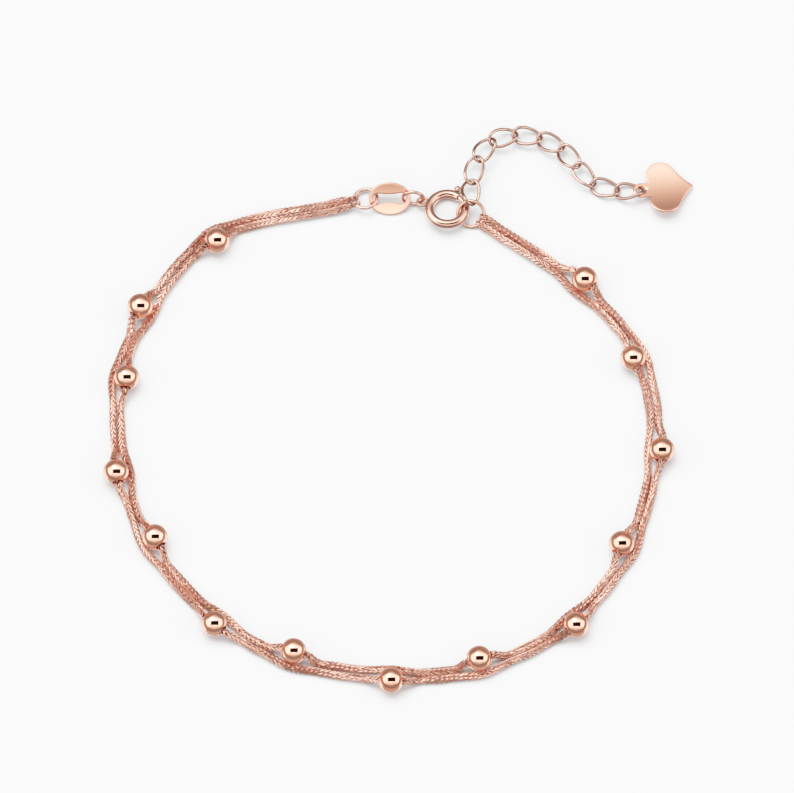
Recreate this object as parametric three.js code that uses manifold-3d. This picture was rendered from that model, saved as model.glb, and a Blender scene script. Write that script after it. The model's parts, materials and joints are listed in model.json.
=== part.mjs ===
// A beaded bracelet, lying flat. Two fine chains run side by side round the wrist, and each
// carries seven round beads, turn about. A spring ring and jump rings close the loop, and a
// short extender chain ends in a heart tag. Millimetres, +Z up, lying on z = 0, clasp towards +Y.

import * as THREE from 'three';
import { mergeVertices } from 'three/addons/utils/BufferGeometryUtils.js';
import Module from 'manifold-3d';

const wasm = await Module();
wasm.setup();

// ---------------------------------------------------------------- driving dimensions

const degree = Math.PI / 180;
const up = new THREE.Vector3(0, 0, 1);

// The two strands: fine round chains, each drawn here as one tube along its route.
const strandRadius = 0.39;
const strandSides = 8;
const strandLies = 0.40;          // height of a strand's centre where it lies on the surface
const strandStep = 2.4;           // longest straight stretch of the tube
const strandHeading = { outer: 1, inner: -1 };

// The beads: round, with a wide drilled hole for their chain.
const beadRadius = 1.325;
const boreRadius = 0.60;
const threadHeight = 1.18;        // height of a strand's centre inside a bead
const besideBead = 1.50;          // from a bead's centre to the centre of the strand beside it
const boreExit = 1.25;            // the threaded strand runs straight this far each way
const passExit = 0.70;            // the strand beside it does so for this far
const strandsMeet = 2.90;         // the two lie side by side again this far from a bead
const endsMeet = 2.60;            // and this far from the rings that they end on

// Every bead's place and strand, from the left ring round to the right one, and how far
// apart the two strands' centres lie in the stretch that follows the bead.
const firstApart = 0.84;
const beads = [
  { x: -17.97, y: 21.56, strand: 'inner', apart: 0.84 },
  { x: -25.94, y: 14.25, strand: 'outer', apart: 0.84 },
  { x: -27.34, y: 6.36, strand: 'inner', apart: 0.84 },
  { x: -28.38, y: -4.08, strand: 'outer', apart: 0.84 },
  { x: -24.34, y: -11.26, strand: 'inner', apart: 0.84 },
  { x: -18.15, y: -20.78, strand: 'outer', apart: 0.86 },
  { x: -9.93, y: -23.78, strand: 'inner', apart: 1.00 },
  { x: 0.17, y: -26.98, strand: 'outer', apart: 0.90 },
  { x: 9.30, y: -24.62, strand: 'inner', apart: 0.84 },
  { x: 19.35, y: -20.92, strand: 'outer', apart: 0.84 },
  { x: 24.12, y: -11.98, strand: 'inner', apart: 0.84 },
  { x: 28.30, y: -1.67, strand: 'outer', apart: 0.95 },
  { x: 25.35, y: 8.51, strand: 'inner', apart: 0.84 },
  { x: 20.33, y: 17.25, strand: 'outer', apart: 0.84 },
];

// The round rings. A ring lies in a plane that is tilted by so many degrees, its high side
// towards the azimuth given; z is the height of its centre.
const wireRadius = 0.155;
const rings = {
  left: { radius: 1.195, x: -2.48, y: 26.39, z: 0.77, tilt: 16.4, towards: 295 },
  connector: { radius: 1.07, x: 2.46, y: 26.30, z: 1.20, tilt: 75.8, towards: 86.3 },
  right: { radius: 1.39, x: 8.50, y: 24.61, z: 0.99, tilt: 36, towards: 78 },
  spring: { radius: 1.87, x: 6.03, y: 25.18, z: 0.92, tilt: 12.5, towards: 270 },
};

// Each strand ends in a little loop round its ring's wire, at these angles on the ring.
const endLoopRadius = 0.40;
const endLoopWire = 0.10;
const seats = {
  left: { outer: 172, inner: 214 },
  right: { outer: -14, inner: -50 },
};

// The flat oval link between the left ring and the connector.
const tag = {
  length: 4.40, width: 3.50, thickness: 0.36, edge: 0.06,
  holeLength: 3.52, holeEnds: 1.16, holeMiddle: 0.92,
  x: 0.04, y: 26.33, z: 1.01, roll: 30, pitch: 4,
};

// The spring ring: a bent tube, open at the mouth and slotted for the trigger's pin.
const tubeRadius = 0.47;
const tubeBore = 0.32;
const mouth = { from: 15, to: 50 };
const slot = { from: 58, to: 116, width: 0.36 };
const gateRadius = 0.25;
const gate = { from: 11, to: 108, pin: 66 };
const pinRadius = 0.12;
const knobRadius = 0.36;
const knobReach = 2.68;           // from the ring's middle to the knob's centre
const eyelet = { at: 160, reach: 2.74, radius: 0.52, wire: 0.14 };

// The extender: flat-lying curb links. Each row is one link's heading and how high its far
// joint lies; the first joint is on the right ring's wire.
const linkPitch = 2.60;
const linkWire = 0.14;
const linkHalfLength = 1.505;     // to the middle of the wire
const linkHalfWidth = 0.90;
const linkTwist = -0.43;          // height of the wire for each square millimetre of x times y
const jointGap = 0.045;
const extenderSeat = 91;          // angle of the first joint on the right ring
const extender = [
  { heading: 88, height: 1.20, roll: 11 },
  { heading: 75, height: 1.47, roll: 0 },
  { heading: 55.5, height: 1.21, roll: -5 },
  { heading: 17.5, height: 0.93, roll: 2 },
  { heading: -7, height: 0.68, roll: 0 },
  { heading: -28, height: 0.85, roll: 0 },
  { heading: -53, height: 1.08, roll: 0 },
  { heading: -48, height: 0.52, roll: -13 },
  { heading: -14.5, height: 0.43, roll: 0 },
  { heading: -6, height: 0.96, roll: -16 },
];

// The heart tag: a flat plate, two round lobes and a point, with a holed lug at the cleft.
const heart = {
  thickness: 0.32, lobeRadius: 1.50, lobeAlong: 2.25, lobeAside: 1.38, tipAlong: 5.35,
  tipRadius: 0.30, lugRadius: 0.84, holeRadius: 0.48, heading: 5.5, lift: 6.7,
  roll: -6, pastJoint: 0.15, height: 0.86,
};

// ---------------------------------------------------------------- solids and materials

const roseGold = { color: 0xe2a48c, roughness: 0.18, metalness: 1 };
const roseGoldChain = { color: 0xd9957c, roughness: 0.32, metalness: 1 };

/** A closed geometry as a manifold solid. */
function solidOf(geometry) {
  const bare = geometry.clone();
  bare.deleteAttribute('normal');
  bare.deleteAttribute('uv');
  const merged = mergeVertices(bare, 1e-4);
  return new wasm.Manifold(new wasm.Mesh({
    numProp: 3,
    vertProperties: new Float32Array(merged.attributes.position.array),
    triVerts: new Uint32Array(merged.index.array),
  }));
}

/** A manifold solid as a geometry. */
function geometryOf(solid) {
  const cut = solid.getMesh();
  const geometry = new THREE.BufferGeometry();
  geometry.setAttribute('position', new THREE.BufferAttribute(cut.vertProperties, 3));
  geometry.setIndex(new THREE.BufferAttribute(cut.triVerts, 1));
  geometry.computeVertexNormals();
  return geometry;
}

function named(name, geometry, finish) {
  const mesh = new THREE.Mesh(geometry, new THREE.MeshStandardMaterial(finish));
  mesh.name = name;
  return mesh;
}

// ---------------------------------------------------------------- shapes that repeat

/** A curve whose even steps fall on the stations it was given. */
class StationCurve extends THREE.CatmullRomCurve3 {
  getUtoTmapping(u) {
    return u;
  }
}

/** An arc of a circle about Z, from one angle to another, in degrees. */
class ArcCurve extends THREE.Curve {
  constructor(radius, from, to) {
    super();
    Object.assign(this, { radius, from, to });
  }

  getPoint(t, target = new THREE.Vector3()) {
    const angle = THREE.MathUtils.lerp(this.from, this.to, t) * degree;
    return target.set(this.radius * Math.cos(angle), this.radius * Math.sin(angle), 0);
  }
}

function roundSection(radius, sides) {
  const corner = (_, i) => {
    const angle = (i + 0.5) * 2 * Math.PI / sides;
    return new THREE.Vector2(radius * Math.cos(angle), radius * Math.sin(angle));
  };
  return new THREE.Shape(Array.from({ length: sides }, corner));
}

function tubeAlong(path, steps, radius, sides) {
  return new THREE.ExtrudeGeometry(roundSection(radius, sides), { extrudePath: path, steps });
}

function ringGeometry(radius, wire, sides = 8, steps = 28) {
  return new THREE.TorusGeometry(radius, wire, sides, steps);
}

/** The turn that tilts a flat piece, its high side towards an azimuth, without spinning it. */
function tiltTurn(tilt, towards) {
  const azimuth = towards * degree;
  const axis = new THREE.Vector3(Math.sin(azimuth), -Math.cos(azimuth), 0);
  return new THREE.Quaternion().setFromAxisAngle(axis, tilt * degree);
}

function placeOnRing(mesh, ring) {
  mesh.position.set(ring.x, ring.y, ring.z);
  mesh.quaternion.copy(tiltTurn(ring.tilt, ring.towards));
  return mesh;
}

/** The middle of a ring's wire at an angle, and which way the wire runs there. */
function onRing(ring, angle) {
  const turn = tiltTurn(ring.tilt, ring.towards);
  const cos = Math.cos(angle * degree);
  const sin = Math.sin(angle * degree);
  const point = new THREE.Vector3(cos, sin, 0).multiplyScalar(ring.radius).applyQuaternion(turn);
  point.add(new THREE.Vector3(ring.x, ring.y, ring.z));
  const along = new THREE.Vector3(-sin, cos, 0).applyQuaternion(turn);
  return { point, along };
}

// ---------------------------------------------------------------- the bundle of two strands

const leftSeat = middleSeat(rings.left, seats.left);
const rightSeat = middleSeat(rings.right, seats.right);

function middleSeat(ring, seat) {
  const outer = onRing(ring, seat.outer).point;
  return outer.add(onRing(ring, seat.inner).point).multiplyScalar(0.5);
}

const flat = (point) => new THREE.Vector3(point.x, point.y, 0);

/** Each bead's centre, the way that its hole points, and the way out of the loop. */
const strung = beads.map((bead, i) => {
  const before = i === 0 ? flat(leftSeat) : flat(beads[i - 1]);
  const after = i === beads.length - 1 ? flat(rightSeat) : flat(beads[i + 1]);
  const along = after.sub(before).normalize();
  const outward = along.clone().cross(up);
  const centre = new THREE.Vector3(bead.x, bead.y, beadRadius);
  return { ...bead, centre, along, outward };
});

/** The middle of the bundle: half way between the two strands, on the surface. */
const bundlePoints = [
  flat(leftSeat),
  ...strung.map((bead) => {
    const side = -strandHeading[bead.strand] * besideBead / 2;
    return flat(bead.centre).addScaledVector(bead.outward, side);
  }),
  flat(rightSeat),
];
const bundle = new THREE.CatmullRomCurve3(bundlePoints, false, 'centripetal');

/** A point between bundle point i and the next, with the strands so far apart. */
function bundleStation(i, distance, heading, apart) {
  const span = bundlePoints[i].distanceTo(bundlePoints[i + 1]);
  const t = (i + distance / span) / (bundlePoints.length - 1);
  const outward = bundle.getTangent(t).cross(up);
  const station = bundle.getPoint(t).addScaledVector(outward, heading * apart / 2);
  station.z = strandLies;
  return station;
}

/** Where a strand runs between two of the bundle's points. */
function spanStations(i, heading, apart) {
  const span = bundlePoints[i].distanceTo(bundlePoints[i + 1]);
  const start = i === 0 ? endsMeet : strandsMeet;
  const end = i === strung.length ? endsMeet : strandsMeet;
  const steps = Math.ceil((span - start - end) / strandStep);
  const stations = [];
  for (let step = 0; step <= steps; step += 1) {
    const distance = start + (span - start - end) * step / steps;
    stations.push(bundleStation(i, distance, heading, apart));
  }
  return stations;
}

/** Where a strand runs through its own bead, or beside the other strand's bead. */
function beadStations(bead, i, strand) {
  const threaded = bead.strand === strand;
  const reach = threaded ? boreExit : passExit;
  const middle = bundlePoints[i + 1].clone();
  middle.addScaledVector(bead.outward, strandHeading[strand] * besideBead / 2);
  middle.z = threaded ? threadHeight : strandLies;
  return [-reach, 0, reach].map((shift) => middle.clone().addScaledVector(bead.along, shift));
}

function strandStations(strand) {
  const heading = strandHeading[strand];
  const stations = spanStations(0, heading, firstApart);
  strung.forEach((bead, i) => {
    stations.push(...beadStations(bead, i, strand), ...spanStations(i + 1, heading, bead.apart));
  });
  return stations;
}

/** The little loop at a strand's end, and the point where the strand leaves it. */
function endLoop(ring, angle, towards) {
  const { point, along } = onRing(ring, angle);
  const leave = towards.clone().sub(point).normalize();
  const axis = along.addScaledVector(leave, -along.dot(leave)).normalize();
  const geometry = ringGeometry(endLoopRadius, endLoopWire, 6, 16);
  geometry.applyQuaternion(new THREE.Quaternion().setFromUnitVectors(up, axis));
  geometry.translate(point.x, point.y, point.z);
  return { solid: solidOf(geometry), exit: point.addScaledVector(leave, endLoopRadius) };
}

function makeStrand(strand) {
  const stations = strandStations(strand);
  const first = endLoop(rings.left, seats.left[strand], stations[0]);
  const last = endLoop(rings.right, seats.right[strand], stations[stations.length - 1]);
  const path = new StationCurve([first.exit, ...stations, last.exit]);
  const steps = path.points.length - 1;
  const tube = solidOf(tubeAlong(path, steps, strandRadius, strandSides));
  const solid = tube.add(first.solid).add(last.solid);
  return named(`strand_${strand}`, geometryOf(solid), roseGoldChain);
}

// ---------------------------------------------------------------- beads

/** A drilled ball, turned about its hole: the profile goes up the outside, down the hole. */
function beadGeometry() {
  const arcSteps = 8;
  const edge = Math.asin(boreRadius / beadRadius);
  const profile = [];
  for (let step = 0; step <= arcSteps; step += 1) {
    const angle = edge + (Math.PI - 2 * edge) * step / arcSteps;
    profile.push(new THREE.Vector2(Math.sin(angle), -Math.cos(angle)).multiplyScalar(beadRadius));
  }
  profile.push(profile[0].clone());
  return new THREE.LatheGeometry(profile, 16);
}

function makeBead(bead, i) {
  const number = String(i + 1).padStart(2, '0');
  const mesh = named(`bead_${number}`, beadGeometry(), roseGold);
  mesh.position.copy(bead.centre);
  mesh.quaternion.setFromUnitVectors(new THREE.Vector3(0, 1, 0), bead.along);
  return mesh;
}

// ---------------------------------------------------------------- rings and the oval link

function makeRing(name, ring) {
  return placeOnRing(named(name, ringGeometry(ring.radius, wireRadius), roseGold), ring);
}

/** The oval link's hole: round ends and long sides that bow inwards. */
function tagHole() {
  const side = tag.holeLength / 2 - tag.holeEnds / 2;
  const hole = new THREE.Path();
  hole.moveTo(-side, -tag.holeEnds / 2);
  hole.quadraticCurveTo(0, tag.holeEnds / 2 - tag.holeMiddle, side, -tag.holeEnds / 2);
  hole.absarc(side, 0, tag.holeEnds / 2, -Math.PI / 2, Math.PI / 2, false);
  hole.quadraticCurveTo(0, tag.holeMiddle - tag.holeEnds / 2, -side, tag.holeEnds / 2);
  hole.absarc(-side, 0, tag.holeEnds / 2, Math.PI / 2, 3 * Math.PI / 2, false);
  return hole;
}

function makeTagLink() {
  const outline = new THREE.Shape();
  outline.absellipse(0, 0, tag.length / 2 - tag.edge, tag.width / 2 - tag.edge, 0, 2 * Math.PI);
  outline.holes.push(tagHole());
  const geometry = new THREE.ExtrudeGeometry(outline, {
    depth: tag.thickness - 2 * tag.edge,
    curveSegments: 8,
    bevelSize: tag.edge,
    bevelThickness: tag.edge,
    bevelSegments: 1,
  });
  geometry.translate(0, 0, tag.edge - tag.thickness / 2);
  const mesh = named('tag_link', geometry, roseGold);
  mesh.position.set(tag.x, tag.y, tag.z);
  mesh.rotation.set(tag.roll * degree, -tag.pitch * degree, 0, 'YXZ');
  return mesh;
}

// ---------------------------------------------------------------- the spring ring

/** A wedge of the ring's plane between two angles, thick enough to cut with. */
function wedge(from, to, inner, outer, height) {
  const shape = new THREE.Shape();
  shape.absarc(0, 0, outer, from * degree, to * degree, false);
  shape.absarc(0, 0, inner, to * degree, from * degree, true);
  const geometry = new THREE.ExtrudeGeometry(shape, { depth: height, bevelEnabled: false });
  return geometry.translate(0, 0, -height / 2);
}

function makeSpringRingBody() {
  const { radius } = rings.spring;
  const past = radius + 2 * tubeRadius;
  const loop = ringGeometry(eyelet.radius, eyelet.wire, 8, 18);
  loop.translate(eyelet.reach, 0, 0).rotateZ(eyelet.at * degree);
  const solid = solidOf(ringGeometry(radius, tubeRadius, 12, 40))
    .add(solidOf(loop))
    .subtract(solidOf(ringGeometry(radius, tubeBore, 10, 40)))
    .subtract(solidOf(wedge(mouth.from, mouth.to, 0.2, past, 4 * tubeRadius)))
    .subtract(solidOf(wedge(slot.from, slot.to, radius, past, slot.width)));
  return placeOnRing(named('spring_ring_body', geometryOf(solid), roseGold), rings.spring);
}

/** The sliding gate: a bent rod inside the tube, with a pin and a knob for the fingernail. */
function makeTrigger() {
  const { radius } = rings.spring;
  const rod = tubeAlong(new ArcCurve(radius, gate.from, gate.to), 14, gateRadius, 8);
  const pin = new THREE.CylinderGeometry(pinRadius, pinRadius, knobReach - radius, 8);
  pin.rotateZ(-Math.PI / 2).translate((knobReach + radius) / 2, 0, 0).rotateZ(gate.pin * degree);
  const knob = new THREE.SphereGeometry(knobRadius, 12, 8);
  knob.translate(knobReach, 0, 0).rotateZ(gate.pin * degree);
  const solid = solidOf(rod).add(solidOf(pin)).add(solidOf(knob));
  return placeOnRing(named('spring_ring_trigger', geometryOf(solid), roseGold), rings.spring);
}

// ---------------------------------------------------------------- the extender and its heart

/** One oval link, twisted so that a row of them lies flat: a torus laid along the oval. */
function linkGeometry() {
  const geometry = ringGeometry(1, linkWire, 8, 24);
  const places = geometry.attributes.position;
  for (let i = 0; i < places.count; i += 1) {
    const x = places.getX(i);
    const y = places.getY(i);
    const z = places.getZ(i);
    const out = Math.hypot(x, y) - 1;
    const cos = x / (1 + out);
    const sin = y / (1 + out);
    const normal = new THREE.Vector2(linkHalfWidth * cos, linkHalfLength * sin).normalize();
    const along = linkHalfLength * cos;
    const aside = linkHalfWidth * sin;
    places.setXYZ(i, along + normal.x * out, aside + normal.y * out, z + linkTwist * along * aside);
  }
  return geometry;
}

/** Which way a link points, given the sine of its climb. */
function heading(link, climb) {
  const level = Math.sqrt(1 - climb * climb);
  const angle = link.heading * degree;
  return new THREE.Vector3(level * Math.cos(angle), level * Math.sin(angle), climb);
}

/** The chain's joints, one after another from the right ring. */
function extenderJoints() {
  const seat = onRing(rings.right, extenderSeat).point;
  const firstClimb = (extender[0].height - seat.z) / linkPitch;
  const inset = (wireRadius + linkWire + jointGap) / 2;
  const joints = [seat.addScaledVector(heading(extender[0], firstClimb), -inset)];
  extender.forEach((link, i) => {
    const climb = (link.height - joints[i].z) / linkPitch;
    joints.push(joints[i].clone().addScaledVector(heading(link, climb), linkPitch));
  });
  return joints;
}

const joints = extenderJoints();

function makeExtenderLink(link, i) {
  const number = String(i + 1).padStart(2, '0');
  const mesh = named(`extender_link_${number}`, linkGeometry(), roseGold);
  const from = joints[i];
  const to = joints[i + 1];
  mesh.position.copy(from).add(to).multiplyScalar(0.5);
  const climb = Math.asin((to.z - from.z) / linkPitch);
  mesh.rotation.set(link.roll * degree, -climb, link.heading * degree, 'ZYX');
  return mesh;
}

/** The heart's outline: the lug, one lobe, the rounded point, the other lobe. */
function heartOutline() {
  const { lobeRadius, lobeAlong, lobeAside, tipAlong, tipRadius, lugRadius } = heart;
  const tipCentre = tipAlong - tipRadius * Math.SQRT2;
  const between = Math.hypot(tipCentre - lobeAlong, lobeAside);
  const lean = Math.atan2(lobeAside, tipCentre - lobeAlong);
  const tangent = Math.PI / 2 - lean - Math.asin((lobeRadius - tipRadius) / between);
  const lugEnd = Math.acos((lobeAside - lugRadius * 0.9) / lobeRadius);
  const shape = new THREE.Shape();
  shape.absarc(0, 0, lugRadius, Math.PI / 2, 3 * Math.PI / 2, false);
  shape.absarc(lobeAlong, -lobeAside, lobeRadius, Math.PI / 2 + lugEnd, 2 * Math.PI - tangent, false);
  shape.absarc(tipCentre, 0, tipRadius, -tangent, tangent, false);
  shape.absarc(lobeAlong, lobeAside, lobeRadius, tangent, 3 * Math.PI / 2 - lugEnd, false);
  return shape;
}

function makeHeartTag() {
  const outline = heartOutline();
  const hole = new THREE.Path();
  hole.absarc(0, 0, heart.holeRadius, 0, 2 * Math.PI, true);
  outline.holes.push(hole);
  const geometry = new THREE.ExtrudeGeometry(outline, {
    depth: heart.thickness, bevelEnabled: false, curveSegments: 10,
  });
  geometry.translate(0, 0, -heart.thickness / 2);
  const mesh = named('heart_tag', geometry, roseGold);
  const last = joints[joints.length - 1];
  mesh.position.set(last.x, last.y + heart.pastJoint, heart.height);
  mesh.rotation.set(heart.roll * degree, heart.lift * degree, heart.heading * degree, 'ZYX');
  return mesh;
}

// ---------------------------------------------------------------- the bracelet

const bracelet = new THREE.Group();
bracelet.add(
  makeStrand('outer'),
  makeStrand('inner'),
  ...strung.map(makeBead),
  makeRing('left_jump_ring', rings.left),
  makeTagLink(),
  makeRing('connector_ring', rings.connector),
  makeSpringRingBody(),
  makeTrigger(),
  makeRing('right_jump_ring', rings.right),
  ...extender.map(makeExtenderLink),
  makeHeartTag(),
);

// The origin is the middle of the footprint, on the surface.
const extent = new THREE.Box3().setFromObject(bracelet, true);
const middle = extent.getCenter(new THREE.Vector3());
bracelet.position.set(-middle.x, -middle.y, -extent.min.z);

export default bracelet;
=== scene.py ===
# %% [markdown]
# # A beaded bracelet, lying flat
# Two fine woven chains run side by side round the wrist. Fourteen polished beads are threaded
# on them turn about, and a spring ring with its jump rings closes the loop. A short curb chain
# with a heart tag hangs from the right-hand ring. Everything is rose gold.
#
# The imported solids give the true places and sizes. They are plain and faceted, so most of them
# are hidden here, and a finer mesh in the same place stands for each one.

import json
from math import acos, asin, atan2, ceil, copysign, cos, degrees, exp, hypot, pi, radians, sin
from math import sqrt, tau

import bmesh
import bpy
from mathutils import Euler, Matrix, Quaternion, Vector

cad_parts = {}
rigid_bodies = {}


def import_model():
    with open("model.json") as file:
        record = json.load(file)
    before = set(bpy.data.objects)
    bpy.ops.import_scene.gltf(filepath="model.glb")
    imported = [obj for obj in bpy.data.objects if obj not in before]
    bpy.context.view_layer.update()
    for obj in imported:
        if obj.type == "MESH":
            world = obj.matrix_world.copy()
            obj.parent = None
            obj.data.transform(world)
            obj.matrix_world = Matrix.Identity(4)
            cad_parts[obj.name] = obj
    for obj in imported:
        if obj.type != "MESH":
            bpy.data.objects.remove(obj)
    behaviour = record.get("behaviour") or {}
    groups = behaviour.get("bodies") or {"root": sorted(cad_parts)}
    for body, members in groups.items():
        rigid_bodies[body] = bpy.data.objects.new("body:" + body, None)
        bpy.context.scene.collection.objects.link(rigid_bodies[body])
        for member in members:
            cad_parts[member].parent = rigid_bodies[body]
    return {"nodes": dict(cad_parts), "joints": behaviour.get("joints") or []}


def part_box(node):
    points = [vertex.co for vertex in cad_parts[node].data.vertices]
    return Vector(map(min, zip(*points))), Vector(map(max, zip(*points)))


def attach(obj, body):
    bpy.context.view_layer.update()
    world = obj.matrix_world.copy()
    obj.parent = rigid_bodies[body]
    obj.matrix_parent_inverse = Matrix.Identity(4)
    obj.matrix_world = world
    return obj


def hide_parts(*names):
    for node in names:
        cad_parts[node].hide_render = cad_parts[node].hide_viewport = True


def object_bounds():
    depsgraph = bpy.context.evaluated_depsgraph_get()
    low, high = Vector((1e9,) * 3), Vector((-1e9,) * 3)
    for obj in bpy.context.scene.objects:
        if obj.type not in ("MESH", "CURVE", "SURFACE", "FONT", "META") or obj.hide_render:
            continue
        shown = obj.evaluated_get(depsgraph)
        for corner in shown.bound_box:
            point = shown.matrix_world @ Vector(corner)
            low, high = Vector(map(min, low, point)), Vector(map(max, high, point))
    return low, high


for leftover in list(bpy.data.objects):
    bpy.data.objects.remove(leftover)

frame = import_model()
cad_low, cad_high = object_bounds()
nodes = frame["nodes"]
MM = 0.001
UP = Vector((0, 0, 1))


def add_object(name, data):
    made = bpy.data.objects.new(name, data)
    bpy.context.scene.collection.objects.link(made)
    return made


print(f"{len(nodes)} solids, {(cad_high - cad_low).x / MM:.1f} mm wide")


# %% [markdown]
# ## The camera
# The bracelet lies on a table, and the eye looks down on it steeply, from its front. A very long
# lens from far away keeps the beads at the back the same size as the ones at the front.

# %% Set the camera
VIEW_ELEVATION = radians(70)
VIEW_DISTANCE = 2.4
VIEW_WIDTH = 82.6 * MM
AIM_SHIFT = Vector((-0.09, 1.66, 0)) * MM
SENSOR = 36.0

aim = (cad_low + cad_high) / 2 + AIM_SHIFT
aim.z = 0
away = Vector((0, -cos(VIEW_ELEVATION), sin(VIEW_ELEVATION)))

camera_data = bpy.data.cameras.new("table_camera")
camera_data.sensor_width = SENSOR
camera_data.lens = SENSOR * VIEW_DISTANCE / VIEW_WIDTH
camera_data.clip_start = 0.01
camera_data.clip_end = 20
camera = add_object("table_camera", camera_data)
camera.location = aim + away * VIEW_DISTANCE
camera.rotation_euler = away.to_track_quat("Z", "Y").to_euler()
bpy.context.scene.camera = camera
print(f"a {camera_data.lens:.0f} mm lens, {VIEW_DISTANCE} m away")


# %% [markdown]
# ## The tone of the picture
# A bright polished highlight is many times as bright as the metal beside it. Cut off at white, it
# would turn hard and yellow. A curve that rises straight at first and then bends over, as film
# does, lets each colour run gently up to white.

# %% Bend the bright tones
STRAIGHT_UP_TO = 0.25
BEND_ROOM = 0.80
BRIGHTEST = 5.0
CURVE_STOPS = (0.25, 0.4, 0.6, 0.85, 1.15, 1.5, 1.95, 2.5, 3.3)


def film_tone(light):
    over = light - STRAIGHT_UP_TO
    return min(1.0, STRAIGHT_UP_TO + BEND_ROOM * (1 - exp(-over / BEND_ROOM)))


def bend_tones(settings):
    settings.view_transform = "Standard"
    settings.use_curve_mapping = True
    mapping = settings.curve_mapping
    mapping.white_level = (BRIGHTEST,) * 3
    stops = mapping.curves[3].points
    for light in CURVE_STOPS:
        stops.new(light / BRIGHTEST, film_tone(light))
    mapping.update()


bend_tones(bpy.context.scene.view_settings)
for light in (0.5, 1.0, 2.0, 4.0):
    print(f"light of {light} shows as {film_tone(light):.2f}")


# %% [markdown]
# ## The light
# Polished metal shows what is round it, so the light is what gives it its look. The bracelet
# lies in a soft white tent: bright overhead, fading to the front and the back, and dim at the
# horizon. One dark opening in the tent, for the camera, shows in each bead as a small dark bar.
# A glow sits high at the back left. A world shader draws all of it far away, which stays right
# from every side, where near lamps would show in the beads as spots.
#
# The table would be mirrored as one flat white sheet. The world's lower half stands for it in
# mirrored light instead: white close by at both sides, greyer where the piece's own shadow
# falls, and dim far off.

# %% Write helpers for node trees
def link(tree, source, target):
    tree.links.new(source, target)


def add_node(tree, kind, inputs, **settings):
    """A node with its settings. Each input is given as a value or as the socket that feeds it."""
    node = tree.nodes.new(kind)
    for name, setting in settings.items():
        setattr(node, name, setting)
    for name, given in inputs.items():
        if isinstance(given, bpy.types.NodeSocket):
            link(tree, given, node.inputs[name])
        else:
            node.inputs[name].default_value = given
    return node


def value_node(tree, operation, *given):
    """What a Math node makes of numbers or sockets."""
    node = add_node(tree, "ShaderNodeMath", dict(enumerate(given)), operation=operation)
    return node.outputs[0]


def times(tree, first, *others):
    """All the numbers or sockets multiplied together."""
    for other in others:
        first = value_node(tree, "MULTIPLY", first, other)
    return first


def soft_step(tree, value, low, high, to_low=0.0, to_high=1.0):
    """Smoothly from one number to another, as value goes from low to high."""
    node = add_node(tree, "ShaderNodeMapRange", {
        "Value": value, "From Min": low, "From Max": high, "To Min": to_low, "To Max": to_high,
    }, interpolation_type="SMOOTHSTEP")
    return node.outputs["Result"]


def dot_with(tree, vector, direction):
    node = add_node(tree, "ShaderNodeVectorMath", {0: vector, 1: direction},
                    operation="DOT_PRODUCT")
    return node.outputs["Value"]


# %% Light the roof
TENT_BRIGHT, TENT_DIM = 3.6, 0.39
TENT_BACK, TENT_FRONT = (0.28, 1.0), (0.50, 1.08)
BACK_NARROWING, FRONT_NARROWING = 1.05, 0.65
TENT_SIDE = (0.06, 0.36)


def tent_roof(tree, x, y, z):
    """How bright the roof is, from 0 to 1: it fades to the back, the front and the sides."""
    spread = times(tree, x, x)
    back = value_node(tree, "MULTIPLY_ADD", spread, BACK_NARROWING, 1.0)
    front = value_node(tree, "MULTIPLY_ADD", spread, FRONT_NARROWING, 1.0)
    back = soft_step(tree, times(tree, y, back), *TENT_BACK, 1, 0)
    front = soft_step(tree, times(tree, y, -1.0, front), *TENT_FRONT, 1, 0)
    return times(tree, back, front, soft_step(tree, z, *TENT_SIDE))


print("the roof is", round(TENT_BRIGHT / TENT_DIM), "times as bright as the horizon")


# %% Cut the opening
OPENING_ELEVATION, OPENING_ASIDE = radians(74.5), radians(5.4)
OPENING_HALF = (0.585, 0.325)
OPENING_EDGE = 0.06
OPENING_LEAK = 0.004
OPENING_AHEAD = (0.0, 0.3)       # keeps the opening off the far side of the sky


def tent_opening(tree, look):
    """1 inside the camera's opening and 0 outside it."""
    c, s = cos(OPENING_ASIDE), sin(OPENING_ASIDE)
    low, high = cos(OPENING_ELEVATION), sin(OPENING_ELEVATION)
    across = value_node(tree, "ABSOLUTE", dot_with(tree, look, (c, s * low, -s * high)))
    rise = value_node(tree, "ABSOLUTE", dot_with(tree, look, (0, high, low)))
    sides = [soft_step(tree, away_from, half - OPENING_EDGE, half + OPENING_EDGE, 1, 0)
             for away_from, half in zip((across, rise), OPENING_HALF)]
    ahead = dot_with(tree, look, (s, -c * low, c * high))
    return times(tree, *sides, soft_step(tree, ahead, *OPENING_AHEAD))


print(f"the opening is {degrees(OPENING_ELEVATION)} degrees up, over the table's front")


# %% Stand in for the table
TABLE_BRIGHT, TABLE_SHADED = 2.4, 0.80
TABLE_NEAR = (-0.55, -0.10)
TABLE_SIDE = (0.80, 0.95)


def mirrored_table(tree, x, z):
    """What stands for the table in mirrored light, below the horizon."""
    flat = value_node(tree, "SQRT", value_node(tree, "SUBTRACT", 1.0, times(tree, z, z)))
    sideways = value_node(tree, "DIVIDE", value_node(tree, "ABSOLUTE", x), flat)
    near = soft_step(tree, sideways, *TABLE_SIDE, TABLE_SHADED - TENT_DIM, TABLE_BRIGHT - TENT_DIM)
    return times(tree, near, soft_step(tree, z, *TABLE_NEAR, 1, 0))


print("the mirrored table goes from", TABLE_SHADED, "to", TABLE_BRIGHT)


# %% Hang the tent
GLOW, GLOW_FROM, GLOW_WIDTH = 4.5, (-0.32, 0.36, 0.88), (0.90, 0.99)
BACKDROP = 2.1


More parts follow.
